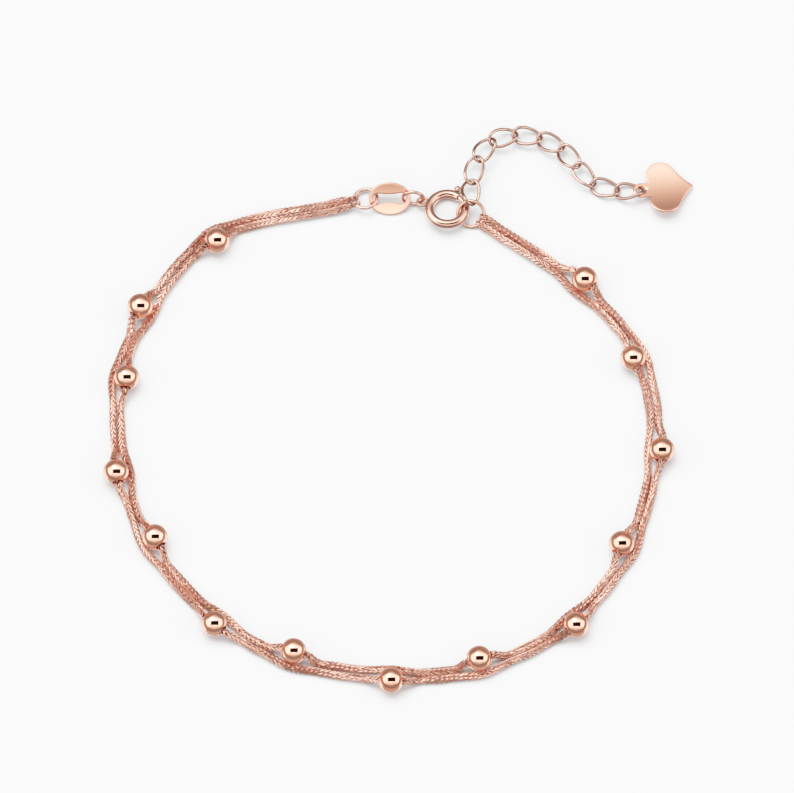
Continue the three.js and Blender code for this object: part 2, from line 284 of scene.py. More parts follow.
def make_tent():
    world = bpy.data.worlds.new("light_tent")
    world.use_nodes = True
    tree = world.node_tree
    tree.nodes.clear()
    look = tree.nodes.new("ShaderNodeTexCoord").outputs["Generated"]
    x, y, z = (dot_with(tree, look, axis) for axis in ((1, 0, 0), (0, 1, 0), (0, 0, 1)))
    glow = soft_step(tree, dot_with(tree, look, Vector(GLOW_FROM).normalized()), *GLOW_WIDTH)
    roof = times(tree, tent_roof(tree, x, y, z), TENT_BRIGHT - TENT_DIM)
    roof = value_node(tree, "MULTIPLY_ADD", glow, GLOW, roof)
    total = value_node(tree, "ADD", roof, mirrored_table(tree, x, z))
    total = value_node(tree, "ADD", total, TENT_DIM)
    hole = times(tree, tent_opening(tree, look), 1 - OPENING_LEAK)
    total = times(tree, total, value_node(tree, "SUBTRACT", 1.0, hole))

    white = (1, 1, 1, 1)
    tent = add_node(tree, "ShaderNodeBackground", {"Color": white, "Strength": total})
    wall = add_node(tree, "ShaderNodeBackground", {"Color": white, "Strength": BACKDROP})
    seen = tree.nodes.new("ShaderNodeLightPath").outputs["Is Camera Ray"]
    choose = add_node(tree, "ShaderNodeMixShader",
                      {0: seen, 1: tent.outputs[0], 2: wall.outputs[0]})
    add_node(tree, "ShaderNodeOutputWorld", {"Surface": choose.outputs[0]})
    return world


bpy.context.scene.world = make_tent()
print("the tent has", len(bpy.context.scene.world.node_tree.nodes), "nodes")


# %% [markdown]
# A third of the light on the table comes from one broad window in the tent, high at the back. It
# gives each bead a soft shadow that falls towards the front, where the tent alone would only
# leave a grey halo. The metal doesn't mirror it.

# %% Open the window
WINDOW_FROM = Vector((-0.07, 0.30, 0.95))
WINDOW_WIDTH = radians(46)
WINDOW_STRENGTH = 3.4

window_data = bpy.data.lights.new("window", "SUN")
window_data.energy = WINDOW_STRENGTH
window_data.angle = WINDOW_WIDTH
window = add_object("window", window_data)
window.rotation_euler = WINDOW_FROM.to_track_quat("Z", "Y").to_euler()
window.visible_glossy = False
print(f"the window stands {degrees(WINDOW_FROM.angle(UP)):.0f} degrees off overhead")


# %% [markdown]
# ## The table
# A plain pale sheet. It is a little grainy, as matt card is, which is far too fine to see as a
# pattern but keeps the shadows from looking like plastic.

# %% Lay the table
FLOOR_HALF = 1.5
FLOOR_TONE = (0.615, 0.615, 0.615, 1)
FLOOR_ROUGHNESS = 0.95
FLOOR_GRAIN = 6000.0
FLOOR_BUMP = (0.15, 0.02 * MM)       # strength and depth
FLOOR_GAP = 0.01 * MM


def new_material(name):
    """A material with an empty tree and one Principled shader."""
    material = bpy.data.materials.new(name)
    material.use_nodes = True
    tree = material.node_tree
    shader = tree.nodes["Principled BSDF"]
    return material, tree, shader


def object_noise(tree, scale, detail, turn=None, squeeze=None):
    """Noise fixed to the piece, turned and squeezed into streaks if that is asked for."""
    place_now = tree.nodes.new("ShaderNodeTexCoord").outputs["Object"]
    if squeeze:
        mapping = {"Vector": place_now, "Rotation": turn, "Scale": squeeze}
        place_now = add_node(tree, "ShaderNodeMapping", mapping).outputs["Vector"]
    noise = {"Vector": place_now, "Scale": scale, "Detail": detail}
    return add_node(tree, "ShaderNodeTexNoise", noise).outputs["Fac"]


def add_bump(tree, shader, height, strength, distance):
    bump = add_node(tree, "ShaderNodeBump",
                    {"Strength": strength, "Distance": distance, "Height": height})
    link(tree, bump.outputs["Normal"], shader.inputs["Normal"])


def make_card():
    material, tree, shader = new_material("pale_card")
    shader.inputs["Base Color"].default_value = FLOOR_TONE
    shader.inputs["Roughness"].default_value = FLOOR_ROUGHNESS
    shader.inputs["Specular IOR Level"].default_value = 0.0
    add_bump(tree, shader, object_noise(tree, FLOOR_GRAIN, 3.0), *FLOOR_BUMP)
    return material


def add_floor():
    mesh = bpy.data.meshes.new("table")
    corners = [(-1, -1), (1, -1), (1, 1), (-1, 1)]
    mesh.from_pydata([(x * FLOOR_HALF, y * FLOOR_HALF, 0) for x, y in corners], [], [(0, 1, 2, 3)])
    floor = add_object("table", mesh)
    floor.location.z = cad_low.z - FLOOR_GAP
    floor.visible_glossy = False
    mesh.materials.append(make_card())


add_floor()
print(f"the table is {2 * FLOOR_HALF} m across")


# %% [markdown]
# ## Rose gold
# Rose gold is gold with copper, so it mirrors its surroundings with a warm pink cast. A mirror
# polish still has faint waves and hair-fine scratches from handling, which break the
# reflections a little. The beads have the brightest polish and the flat tags are a shade paler.
# The clasp's tube and the jump rings are softer, and the extender's wire is deeper in tone. The
# chain's tiny wires are the most matt.

# %% Mix the finishes
# Each finish: its tone, its worn tone, its least and most roughness, how many grains to the
# metre, and how deep its scratches are.
FINISHES = {
    "polished": ((0.95, 0.45, 0.31, 1), (0.90, 0.39, 0.26, 1), (0.03, 0.07), 900.0, 0.003 * MM),
    "plate": ((0.90, 0.425, 0.295, 1), (0.84, 0.375, 0.25, 1), (0.03, 0.07), 900.0, 0.003 * MM),
    "spring": ((0.61, 0.335, 0.255, 1), (0.48, 0.24, 0.17, 1), (0.14, 0.22), 900.0, 0.003 * MM),
    "clasp": ((0.70, 0.395, 0.305, 1), (0.55, 0.28, 0.21, 1), (0.05, 0.12), 900.0, 0.003 * MM),
    "wire": ((0.51, 0.305, 0.245, 1), (0.38, 0.215, 0.165, 1), (0.10, 0.22), 1200.0, 0.004 * MM),
    "chain": ((0.69, 0.375, 0.295, 1), (0.58, 0.285, 0.21, 1), (0.32, 0.48), 1800.0, 0.006 * MM),
}
DRIFT_SHARE = 0.12           # the drift of tone is this much coarser than the grain
DRIFT_RANGE, GLOSS_RANGE = (0.35, 0.75), (0.3, 0.7)
SCRATCH_TURN = (0.4, 0.7, 1.1)
SCRATCH_SQUEEZE = (1.0, 14.0, 14.0)
SCRATCH_BUMP = 0.12


def blend_tones(tree, factor, first, second):
    """A mix of two colours, either of which may be another node's socket."""
    mix = add_node(tree, "ShaderNodeMix", {"Factor": factor, "A": first, "B": second},
                   data_type="RGBA")
    return mix.outputs["Result"]


def make_rose_gold(name, tone, worn, roughness, grain, scratch_depth):
    """Rose gold with a slow drift of tone, uneven gloss and hair-fine scratches."""
    material, tree, shader = new_material(name)
    shader.inputs["Metallic"].default_value = 1.0
    drift = soft_step(tree, object_noise(tree, grain * DRIFT_SHARE, 2.0), *DRIFT_RANGE)
    link(tree, blend_tones(tree, drift, tone, worn), shader.inputs["Base Color"])
    gloss = soft_step(tree, object_noise(tree, grain, 4.0), *GLOSS_RANGE, *roughness)
    link(tree, gloss, shader.inputs["Roughness"])

    # Scratches are noise squeezed into long thin lines.
    lines = object_noise(tree, grain, 4.0, SCRATCH_TURN, SCRATCH_SQUEEZE)
    add_bump(tree, shader, lines, SCRATCH_BUMP, scratch_depth)
    return material


gold = {name: make_rose_gold(f"{name}_rose_gold", *finish) for name, finish in FINISHES.items()}
print("finishes:", *gold)


# %% [markdown]
# Painted shade: the chain's colour is darkened to brown deep between its wires, where shade falls.
# The weave gives each point its share of the way out from the chain's axis, and the deep ones are
# painted brown.

# %% Paint shade into the deep places
# Painted shade: the brown painted into the chain's deep places, and how far out it fades.
CHAIN_PAINTED_SHADE = (0.30, 0.17, 0.13, 1)
PAINTED_SHADE_SHARES = (0.42, 0.70)


def paint_recess_shade(material):
    tree = material.node_tree
    shader = tree.nodes["Principled BSDF"]
    shine = shader.inputs["Base Color"].links[0].from_socket
    # Painted shade: points deep in the weave are painted brown where shade falls.
    outwards = tree.nodes.new("ShaderNodeAttribute")
    outwards.attribute_name = "outwards"
    unshaded_share = soft_step(tree, outwards.outputs["Fac"], *PAINTED_SHADE_SHARES)
    link(tree, blend_tones(tree, unshaded_share, CHAIN_PAINTED_SHADE, shine), shader.inputs["Base Color"])


paint_recess_shade(gold["chain"])
print("recesses turn brown below", PAINTED_SHADE_SHARES[1], "of the way out")


# %% [markdown]
# ## Helpers for meshes
# Most pieces are a closed outline carried round a loop or along a path. One helper turns rows of
# points into a smooth closed mesh, and another gives it a material and ties it to its body.

# %% Write the helpers
SMOOTH_ANGLE = radians(40)      # an edge sharper than this stays crisp
CORNER_SHARE = 0.3           # how far a rounded corner's middle point is cut back


def spoke_at(angle):
    """A unit direction in the plane, at an angle in radians."""
    return Vector((cos(angle), sin(angle), 0))


def even_turns(count):
    return [tau * k / count for k in range(count)]


def centre_of(name):
    """The mean of a solid's points, which is its middle when it is evenly shaped."""
    points = [vertex.co for vertex in nodes[name].data.vertices]
    return sum(points, Vector()) / len(points)


def mesh_from_rows(rows, closed=True):
    """Quads between rows of points. Each row is a ring, and the rows close into a loop or not."""
    mesh = bmesh.new()
    made = [[mesh.verts.new(point) for point in row] for row in rows]
    count = len(made)
    for i in range(count if closed else count - 1):
        here, there = made[i], made[(i + 1) % count]
        for j in range(len(here)):
            k = (j + 1) % len(here)
            mesh.faces.new((here[j], here[k], there[k], there[j]))
    if not closed:
        mesh.faces.new(reversed(made[0]))
        mesh.faces.new(made[-1])
    bmesh.ops.recalc_face_normals(mesh, faces=mesh.faces)
    return mesh


def place(mesh, centre, turn):
    mesh.transform(Matrix.Translation(centre) @ turn.to_matrix().to_4x4())
    return mesh


def turned(roll, pitch, heading):
    """A turn of so many degrees about X, then Y, then Z."""
    return Euler([radians(angle) for angle in (roll, pitch, heading)]).to_quaternion()


def plain_mesh(name, mesh):
    """A finished mesh of what has been built, which is then let go."""
    data = bpy.data.meshes.new(name)
    mesh.to_mesh(data)
    mesh.free()
    return data


def finish_piece(name, mesh, material, *stands_for, body="bracelet", slot="polished_metal"):
    """Makes an object of a mesh, shades it, and ties it to its body and its solids."""
    data = plain_mesh(name, mesh) if isinstance(mesh, bmesh.types.BMesh) else mesh
    data.name = name
    data.materials.clear()
    data.materials.append(material)
    piece = add_object(name, data)
    data.shade_smooth()
    data.set_sharp_from_angle(angle=SMOOTH_ANGLE)
    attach(piece, body)
    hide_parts(*stands_for)
    print(f"{name}: {len(data.polygons)} faces")


# %% [markdown]
# ## The beads
# Each bead is a polished ball with a wide drilled hole. A lathe makes it: one outline goes up
# the outside, over the hole's softened edge and back down the hole's wall, and it is turned
# about the hole.

# %% Turn the beads
BEAD_COUNT = 14
BEAD_RADIUS = 1.325 * MM
BORE_RADIUS = 0.60 * MM
BORE_SOFTENING = 0.035 * MM
BEAD_SEGMENTS = 72
BEAD_STEPS = 30

bead_names = [f"bead_{number:02d}" for number in range(1, BEAD_COUNT + 1)]
bead_centres = [centre_of(name) for name in bead_names]


def bead_outline():
    """Distance from the hole's axis and place along it, round the whole wall once."""
    edge = asin((BORE_RADIUS + BORE_SOFTENING) / BEAD_RADIUS)
    outline = []
    for i in range(BEAD_STEPS + 1):
        angle = edge + (pi - 2 * edge) * i / BEAD_STEPS
        outline.append((BEAD_RADIUS * sin(angle), -BEAD_RADIUS * cos(angle)))
    mouth = outline[-1][1]
    corner = BORE_SOFTENING * CORNER_SHARE
    rounding = [(BORE_RADIUS + corner, mouth - corner / 2), (BORE_RADIUS, mouth - BORE_SOFTENING)]
    outline += rounding
    outline += [(BORE_RADIUS, 0.0)]
    outline += [(radius, -height) for radius, height in reversed(rounding)]
    return outline


def bead_mesh(centre, along):
    turn = UP.rotation_difference(along)
    rows = [[spoke_at(angle) * radius + UP * height for radius, height in bead_outline()]
            for angle in even_turns(BEAD_SEGMENTS)]
    return place(mesh_from_rows(rows), centre, turn)


# %% [markdown]
# ## The route of the two chains
# Each chain is soldered to a little loop at both ends, and the loops hang on the two jump rings.
# In between, a chain climbs through the hole of each of its own beads, and lies on the table
# beside each bead of the other chain. The beads' places give the whole route.

# %% Find where the chains end
HEADING = {"outer": 1, "inner": -1}
RINGS = {
    "left": {"node": "left_jump_ring", "radius": 1.195 * MM, "tilt": 16.4, "towards": 295},
    "right": {"node": "right_jump_ring", "radius": 1.39 * MM, "tilt": 36, "towards": 78},
    "connector": {"node": "connector_ring", "radius": 1.07 * MM, "tilt": 75.8, "towards": 86.3},
}
SEATS = {"left": {"outer": 172, "inner": 214}, "right": {"outer": -14, "inner": -50}}


def tilt_turn(tilt, towards):
    """The turn that lifts a flat piece's side at one azimuth, without spinning it."""
    azimuth = radians(towards)
    return Quaternion((sin(azimuth), -cos(azimuth), 0), radians(tilt))


def on_ring(ring, angle):
    """A point in the middle of a ring's wire, and the way that the wire runs there."""
    turn = tilt_turn(ring["tilt"], ring["towards"])
    spoke = spoke_at(radians(angle))
    point = centre_of(ring["node"]) + turn @ (spoke * ring["radius"])
    return point, turn @ UP.cross(spoke)


def flat(point):
    return Vector((point.x, point.y, 0))


def seat_middle(side):
    ends = [on_ring(RINGS[side], angle)[0] for angle in SEATS[side].values()]
    return flat((ends[0] + ends[1]) / 2)


path_ends = [seat_middle("left"), *map(flat, bead_centres), seat_middle("right")]
print(f"the two rings are {(path_ends[-1] - path_ends[0]).length / MM:.1f} mm apart")


# %% Find the way of the pair
BESIDE_BEAD = 1.50 * MM      # from a bead's middle to the chain that passes it

bead_along = [(path_ends[i + 2] - path_ends[i]).normalized() for i in range(BEAD_COUNT)]
bead_outward = [along.cross(UP) for along in bead_along]


def owner(i):
    """The chain that a bead is threaded on. They take turns, and the first is the inner one's."""
    return "outer" if i % 2 else "inner"


bundle = [path_ends[0]]
for i in range(BEAD_COUNT):
    shift = -HEADING[owner(i)] * BESIDE_BEAD / 2
    bundle.append(path_ends[i + 1] + bead_outward[i] * shift)
bundle.append(path_ends[-1])


def smooth_between(points, i, t):
    """The point at share t between points[i] and the next, on a curve that eases through all."""
    ahead = len(points) - 1
    p0 = points[i - 1] if i > 0 else points[0] * 2 - points[1]
    p3 = points[i + 2] if i + 2 <= ahead else points[ahead] * 2 - points[ahead - 1]
    p1, p2 = points[i], points[i + 1]
    d0, d1, d2 = ((b - a).length ** 0.5 for a, b in ((p0, p1), (p1, p2), (p2, p3)))
    m1 = ((p1 - p0) / d0 - (p2 - p0) / (d0 + d1) + (p2 - p1) / d1) * d1
    m2 = ((p2 - p1) / d1 - (p3 - p1) / (d1 + d2) + (p3 - p2) / d2) * d1
    return (p1 * (2 * t ** 3 - 3 * t ** 2 + 1) + m1 * (t ** 3 - 2 * t ** 2 + t)
            + p2 * (3 * t ** 2 - 2 * t ** 3) + m2 * (t ** 3 - t ** 2))


print(len(bundle) - 1, "spans between", BEAD_COUNT, "beads and two rings")


# %% Find the stations of each chain
LIES = 0.44 * MM             # height of a chain's middle on the table
THREAD_HEIGHT = 1.18 * MM    # and inside a bead
BORE_EXIT = 1.25 * MM        # it runs straight this far each way from a bead's middle
MEET_BEAD, MEET_RING = 2.90 * MM, 2.60 * MM      # the pair lies close beyond these
STRETCH = 2.4 * MM
NUDGE = 0.01                 # how far each side of a place its direction is taken from
APART = [0.84] * 6 + [0.86, 1.00, 0.90] + [0.84] * 3 + [0.95] + [0.84] * 2
LOOP_RADIUS, LOOP_WIRE = 0.40 * MM, 0.10 * MM


def bundle_station(i, share, heading):
    along = smooth_between(bundle, i, share + NUDGE) - smooth_between(bundle, i, share - NUDGE)
    aside = along.normalized().cross(UP) * heading * (APART[i] * MM) / 2
    return smooth_between(bundle, i, share) + aside + UP * LIES


def span_stations(i, heading):
    span = (bundle[i + 1] - bundle[i]).length
    start = MEET_RING if i == 0 else MEET_BEAD
    end = MEET_RING if i == BEAD_COUNT else MEET_BEAD
    steps = ceil((span - start - end) / STRETCH)
    places = [start + (span - start - end) * k / steps for k in range(steps + 1)]
    return [bundle_station(i, distance / span, heading) for distance in places]


def bead_stations(i, strand):
    """Straight through the bead, or one place beside it for the curve to swing past."""
    middle = bundle[i + 1] + bead_outward[i] * HEADING[strand] * BESIDE_BEAD / 2
    if owner(i) != strand:
        return [middle + UP * LIES]
    middle.z = THREAD_HEIGHT
    return [middle + bead_along[i] * shift for shift in (-BORE_EXIT, 0, BORE_EXIT)]


def strand_route(strand):
    """The strand's stations, and each end loop's middle and axis."""
    stations = span_stations(0, HEADING[strand])
    for i in range(BEAD_COUNT):
        stations += bead_stations(i, strand) + span_stations(i + 1, HEADING[strand])
    loops = []
    for side, nearest in (("left", stations[0]), ("right", stations[-1])):
        point, wire = on_ring(RINGS[side], SEATS[side][strand])
        leave = (nearest - point).normalized()
        axis = (wire - leave * wire.dot(leave)).normalized()
        loops.append((point, axis, point + leave * LOOP_RADIUS))
    return [loops[0][2], *stations, loops[1][2]], loops


routes = {strand: strand_route(strand) for strand in HEADING}
for strand, (stations, _) in routes.items():
    length = sum((b - a).length for a, b in zip(stations, stations[1:]))
    print(f"the {strand} chain is {length / MM:.0f} mm long")


# %% Thread the beads
for name, centre, along in zip(bead_names, bead_centres, bead_along):
    finish_piece(f"{name}_polished", bead_mesh(centre, along), gold["polished"], name)


# %% [markdown]
# ## The woven chains
# Each chain is woven from hundreds of small wire ovals, folded in half and pushed through one
# another, every one a quarter turn from the last. Seen from one side their legs make a row of
# chevrons, and from the other their bends make smooth ridges. The chain has a slow twist, so
# both faces show in turn. Geometry Nodes set one folded oval at each step along the route.

# %% Write helpers for Geometry Nodes
def new_tree(name, sizes, **others):
    """A Geometry Nodes tree with a named input for each size and for what else it takes."""
    tree = bpy.data.node_groups.new(name, "GeometryNodeTree")
    kinds = {"Geometry": "Geometry", **dict.fromkeys(sizes, "Float"), **others}
    for label, kind in kinds.items():
        tree.interface.new_socket(label, in_out="INPUT", socket_type=f"NodeSocket{kind}")
    tree.interface.new_socket("Geometry", in_out="OUTPUT", socket_type="NodeSocketGeometry")
    return tree, tree.nodes.new("NodeGroupInput").outputs, tree.nodes.new("NodeGroupOutput").inputs


def unit_circle_place(tree):
    """Where each point of an oval is before it is bent, on a circle of radius 1."""
    place_now = tree.nodes.new("GeometryNodeInputPosition").outputs[0]
    split = add_node(tree, "ShaderNodeSeparateXYZ", {0: place_now})
    return split.outputs["X"], split.outputs["Y"]


def wire_oval(tree, wire, x, y, z, points, sides):
    """A round wire bent along a closed curve, from three sockets that give its shape."""
    ring = add_node(tree, "GeometryNodeCurvePrimitiveCircle", {"Resolution": points, "Radius": 1.0})
    shape = add_node(tree, "ShaderNodeCombineXYZ", {"X": x, "Y": y, "Z": z})
    bend = add_node(tree, "GeometryNodeSetPosition",
                    {"Geometry": ring.outputs["Curve"], "Position": shape.outputs[0]})
    section = add_node(tree, "GeometryNodeCurvePrimitiveCircle",
                       {"Resolution": sides, "Radius": wire})
    sweep = add_node(tree, "GeometryNodeCurveToMesh", {
        "Curve": bend.outputs["Geometry"], "Profile Curve": section.outputs["Curve"]})
    return sweep.outputs["Mesh"]


def end_tree(tree, points, instance, rotation, material, output):
    """One instance at each point, made real and given its finish, as the last steps."""
    scatter = add_node(tree, "GeometryNodeInstanceOnPoints",
                       {"Points": points, "Instance": instance, "Rotation": rotation})
    real = add_node(tree, "GeometryNodeRealizeInstances",
                    {"Geometry": scatter.outputs["Instances"]})
    paint = add_node(tree, "GeometryNodeSetMaterial",
                     {"Geometry": real.outputs["Geometry"], "Material": material})
    link(tree, paint.outputs["Geometry"], output)


# %% Build the weaving tree
CHAIN = {
    "Step": 0.245 * MM,          # from one oval to the next
    "Wire": 0.112 * MM,
    "Half Width": 0.345 * MM,
    "Half Depth": 0.165 * MM,
    "Reach": 0.72 * MM,          # how far the two ends of an oval are folded forward
    "Fold": 2.0,                 # 1 folds it to a sharp V, and more to a rounder U
    "Twist": radians(1.5),
    "Wobble": 0.16,              # the most that an oval is turned by chance, either way
}
CHAIN_SEED = 7
CHAIN_POINTS, CHAIN_SIDES = 12, 5


def make_weaving_tree():
    tree, given, result = new_tree("woven_chain", CHAIN, Seed="Int", Material="Material")

    # One folded oval. Its unit circle's x and y become the width and depth, and its two
    # far ends are pushed forward by the reach.
    x, y = unit_circle_place(tree)
    width = times(tree, x, given["Half Width"])
    depth = times(tree, y, given["Half Depth"])
    fold = value_node(tree, "POWER", value_node(tree, "ABSOLUTE", x), given["Fold"])
    fold = times(tree, fold, given["Reach"])
    oval = wire_oval(tree, given["Wire"], width, depth, fold, CHAIN_POINTS, CHAIN_SIDES)

    # How far out from the chain's axis each point of the bent wire is, read by the painted shade.
    squares = value_node(tree, "MULTIPLY_ADD", x, x, times(tree, y, y))
    widest = value_node(tree, "ADD", given["Half Width"], given["Wire"])
    share = value_node(tree, "DIVIDE", value_node(tree, "SQRT", squares), widest)
    keep = add_node(tree, "GeometryNodeStoreNamedAttribute",
                    {"Name": "outwards", "Geometry": oval, "Value": share},
                    data_type="FLOAT", domain="POINT")

    # Stations along the route, each a quarter turn and a little twist from the last.
    route = add_node(tree, "GeometryNodeMeshToCurve", {"Mesh": given["Geometry"]})
    stations = add_node(tree, "GeometryNodeCurveToPoints",
                        {"Curve": route.outputs["Curve"], "Length": given["Step"]}, mode="LENGTH")
    face = add_node(tree, "FunctionNodeAxesToRotation",
                    {"Primary Axis": stations.outputs["Tangent"], "Secondary Axis": (0, 0, 1)},
                    primary_axis="Z", secondary_axis="X")
    index = tree.nodes.new("GeometryNodeInputIndex").outputs[0]
    quarter = value_node(tree, "ADD", given["Twist"], pi / 2)
    wobble = add_node(tree, "FunctionNodeRandomValue", {"Seed": given["Seed"]}, data_type="FLOAT")
    low, high = [s for s in wobble.inputs if s.name in ("Min", "Max") and s.type == "VALUE"]
    link(tree, times(tree, given["Wobble"], -1.0), low)
    link(tree, given["Wobble"], high)
    chance = [s for s in wobble.outputs if s.type == "VALUE"][0]
    angle = value_node(tree, "MULTIPLY_ADD", index, quarter, chance)
    spin = add_node(tree, "FunctionNodeAxisAngleToRotation", {"Axis": (0, 0, 1), "Angle": angle})
    turn = add_node(tree, "FunctionNodeRotateRotation",
                    {"Rotation": face.outputs[0], "Rotate By": spin.outputs[0]},
                    rotation_space="LOCAL")
    end_tree(tree, stations.outputs["Points"], keep.outputs["Geometry"], turn.outputs[0],
             given["Material"], result["Geometry"])
    return tree


weaving = make_weaving_tree()
print("weaving tree:", len(weaving.nodes), "nodes")


# %% Write helpers for wire
def round_rows(path, radius, sides, closed=False):
    """Circles round each point of a path, all square to it."""
    rows = []
    count = len(path)
    turns = even_turns(sides)
    side = None
    for i, point in enumerate(path):
        before = path[(i - 1) % count] if closed or i > 0 else point
        after = path[(i + 1) % count] if closed or i < count - 1 else point
        along = (after - before).normalized()
        if side is None:
            side = along.orthogonal().normalized()
        side = (side - along * side.dot(along)).normalized()
        over = along.cross(side)
        rows.append([point + (side * cos(a) + over * sin(a)) * radius for a in turns])
    return rows


def arc_path(radius, start, end, steps, centre=Vector()):
    """Points round part of a flat circle, between two angles in radians."""
    return [centre + spoke_at(start + (end - start) * i / steps) * radius for i in range(steps + 1)]


def hoop_mesh(radius, wire, steps, sides):
    """A whole ring of wire, flat about the origin."""
    path = [spoke_at(angle) * radius for angle in even_turns(steps)]
    return mesh_from_rows(round_rows(path, wire, sides, closed=True))


# %% Weave the two chains
ROUTE_GRAIN = 8      # points on the smooth route between two stations


def smooth_route(stations):
    """The whole route as fine points. Where the curve would dip, the table holds the chain up."""
    points = []
    for i in range(len(stations) - 1):
        points += [smooth_between(stations, i, k / ROUTE_GRAIN) for k in range(ROUTE_GRAIN)]
    for point in points:
        point.z = max(point.z, LIES)
    return points + [stations[-1]]


def run_tree(tree, mesh, **values):
    """Runs a tree on a mesh, and returns the result as a plain mesh."""
    holder = add_object("holder", mesh)
    modifier = holder.modifiers.new("tree", "NODES")
    modifier.node_group = tree
    named = {item.name: item.identifier for item in tree.interface.items_tree
             if item.in_out == "INPUT"}
    for name, given in values.items():
        modifier[named[name]] = given
    bpy.context.view_layer.update()
    depsgraph = bpy.context.evaluated_depsgraph_get()
    made = bpy.data.meshes.new_from_object(holder.evaluated_get(depsgraph))
    holder.modifiers.clear()
    bpy.data.objects.remove(holder)
    return made


def loop_mesh(point, axis):
    """The little soldered loop at the end of a chain."""
    return place(hoop_mesh(LOOP_RADIUS, LOOP_WIRE, steps=32, sides=12), point,
                 UP.rotation_difference(axis))


def weave(strand, phase):
    stations, loops = routes[strand]
    points = smooth_route(stations)
    line = bpy.data.meshes.new("route")
    line.from_pydata(points, [(i, i + 1) for i in range(len(points) - 1)], [])
    chain = run_tree(weaving, line, Seed=CHAIN_SEED + phase, Material=gold["chain"], **CHAIN)
    whole = bmesh.new()
    whole.from_mesh(chain)
    outwards = whole.verts.layers.float["outwards"]
    # The end loops count as all the way out, so they get no painted shade.
    for point, axis, _ in loops:
        woven = len(whole.verts)
        whole.from_mesh(plain_mesh("loop", loop_mesh(point, axis)))
        whole.verts.ensure_lookup_table()
        for vertex in whole.verts[woven:]:
            vertex[outwards] = 1.0
    finish_piece(f"woven_chain_{strand}", whole, gold["chain"], f"strand_{strand}",
                 slot="chain_metal")


for phase, strand in enumerate(HEADING):
    weave(strand, phase)


# %% [markdown]
# ## The plain rings
# A jump ring is a round wire bent until its two cut ends meet. It is swept round a circle from one
# side of that cut to the other, so the hairline joint is there to see.

# %% Bend the rings
WIRE = 0.188 * MM
RING_STEPS, RING_SIDES = 96, 20
JOINT_GAP = radians(0.35)       # half the cut, round the ring
CUTS = {"left": 60, "right": 140, "connector": 262}


def ring_mesh(ring, cut):
    start = radians(cut) + JOINT_GAP
    path = arc_path(ring["radius"], start, start + 2 * (pi - JOINT_GAP), RING_STEPS)
    rows = round_rows(path, WIRE, RING_SIDES)
    return place(mesh_from_rows(rows, closed=False), centre_of(ring["node"]),
                 tilt_turn(ring["tilt"], ring["towards"]))


for side, ring in RINGS.items():
    finish_piece(f"{ring['node']}_wire", ring_mesh(ring, CUTS[side]), gold["clasp"], ring["node"])


# %% [markdown]
# ## The oval link
# A flat stamped link, waisted on the inside. Its section is a rounded bar, carried round
# between the outer oval and the hole. Stamping leaves it a little dished, so its two long sides
# catch different parts of the room and never shine alike.

# %% Shape the oval link
TAG_HALF = (2.20 * MM, 1.75 * MM)
TAG_HOLE_HALF = 1.76 * MM
TAG_HOLE_END = 0.58 * MM
TAG_HOLE_WAIST = 0.46 * MM
TAG_THICK = 0.36 * MM
TAG_ROUNDING = 0.12 * MM
TAG_TURN = turned(30, -4, 0)
TAG_STEPS = 128
TAG_FLAT_STEPS = 8           # enough points across each flat for it to be hollow
TAG_CORNER_STEPS = 5
TAG_LEAN = 0.1145            # slope across the link, on top of its roll
TAG_DISH = 0.087 / MM        # how fast that slope grows towards the high side


def hole_height(x):
    side = TAG_HOLE_HALF - TAG_HOLE_END
    if abs(x) < side:
        return TAG_HOLE_WAIST + (TAG_HOLE_END - TAG_HOLE_WAIST) * (x / side) ** 2
    return sqrt(max(TAG_HOLE_END ** 2 - (abs(x) - side) ** 2, 0))


def bar_section(edge, wall):
    """A rounded bar from edge 0 to 1 across the wall, as pairs of share and height."""
    rounding = min(0.45, edge / wall)
    shares = [rounding + (1 - 2 * rounding) * k / TAG_FLAT_STEPS for k in range(1, TAG_FLAT_STEPS)]
    flats = {90: [(share, TAG_THICK / 2) for share in reversed(shares)],
             270: [(share, -TAG_THICK / 2) for share in shares]}
    section = []
    for sign_x, sign_z, start in ((1, 1, 0), (-1, 1, 90), (-1, -1, 180), (1, -1, 270)):
        section += flats.get(start, [])
        for k in range(TAG_CORNER_STEPS + 1):
            angle = radians(start + 90 * k / TAG_CORNER_STEPS)
            across = 0.5 + sign_x * (0.5 - rounding) + rounding * cos(angle)
            height = sign_z * (TAG_THICK / 2 - edge) + edge * sin(angle)
            section.append((across, height))
    return section


def dished(point, lean, dish, level_at):
    """A flat plate's point, lifted so that the plate leans and is hollow along its length."""
    lift = lean * point.y + dish / 2 * (point.y ** 2 - level_at ** 2)
    return point + UP * lift


def tag_rows():
    rows = []
    for angle in even_turns(TAG_STEPS):
        outer = Vector((TAG_HALF[0] * cos(angle), TAG_HALF[1] * sin(angle), 0))
        x = TAG_HOLE_HALF * cos(angle)
        inner = Vector((x, copysign(hole_height(x), sin(angle)), 0))
        section = bar_section(TAG_ROUNDING, (outer - inner).length)
        rows.append([dished(inner.lerp(outer, share) + UP * height, TAG_LEAN, TAG_DISH, 0)
                     for share, height in section])
    return rows


finish_piece("tag_link_bar", place(mesh_from_rows(tag_rows()), centre_of("tag_link"), TAG_TURN),
             gold["plate"], "tag_link")


# %% [markdown]
# ## The spring ring
# The clasp is a bent tube with a gap for its mouth. A sprung rod inside the tube closes the gap,
# and a knob on the rod sticks out through a slot, so that a fingernail can push it back. The
# tube and its soldered eyelet are one piece, and the rod with its knob is the piece that moves.

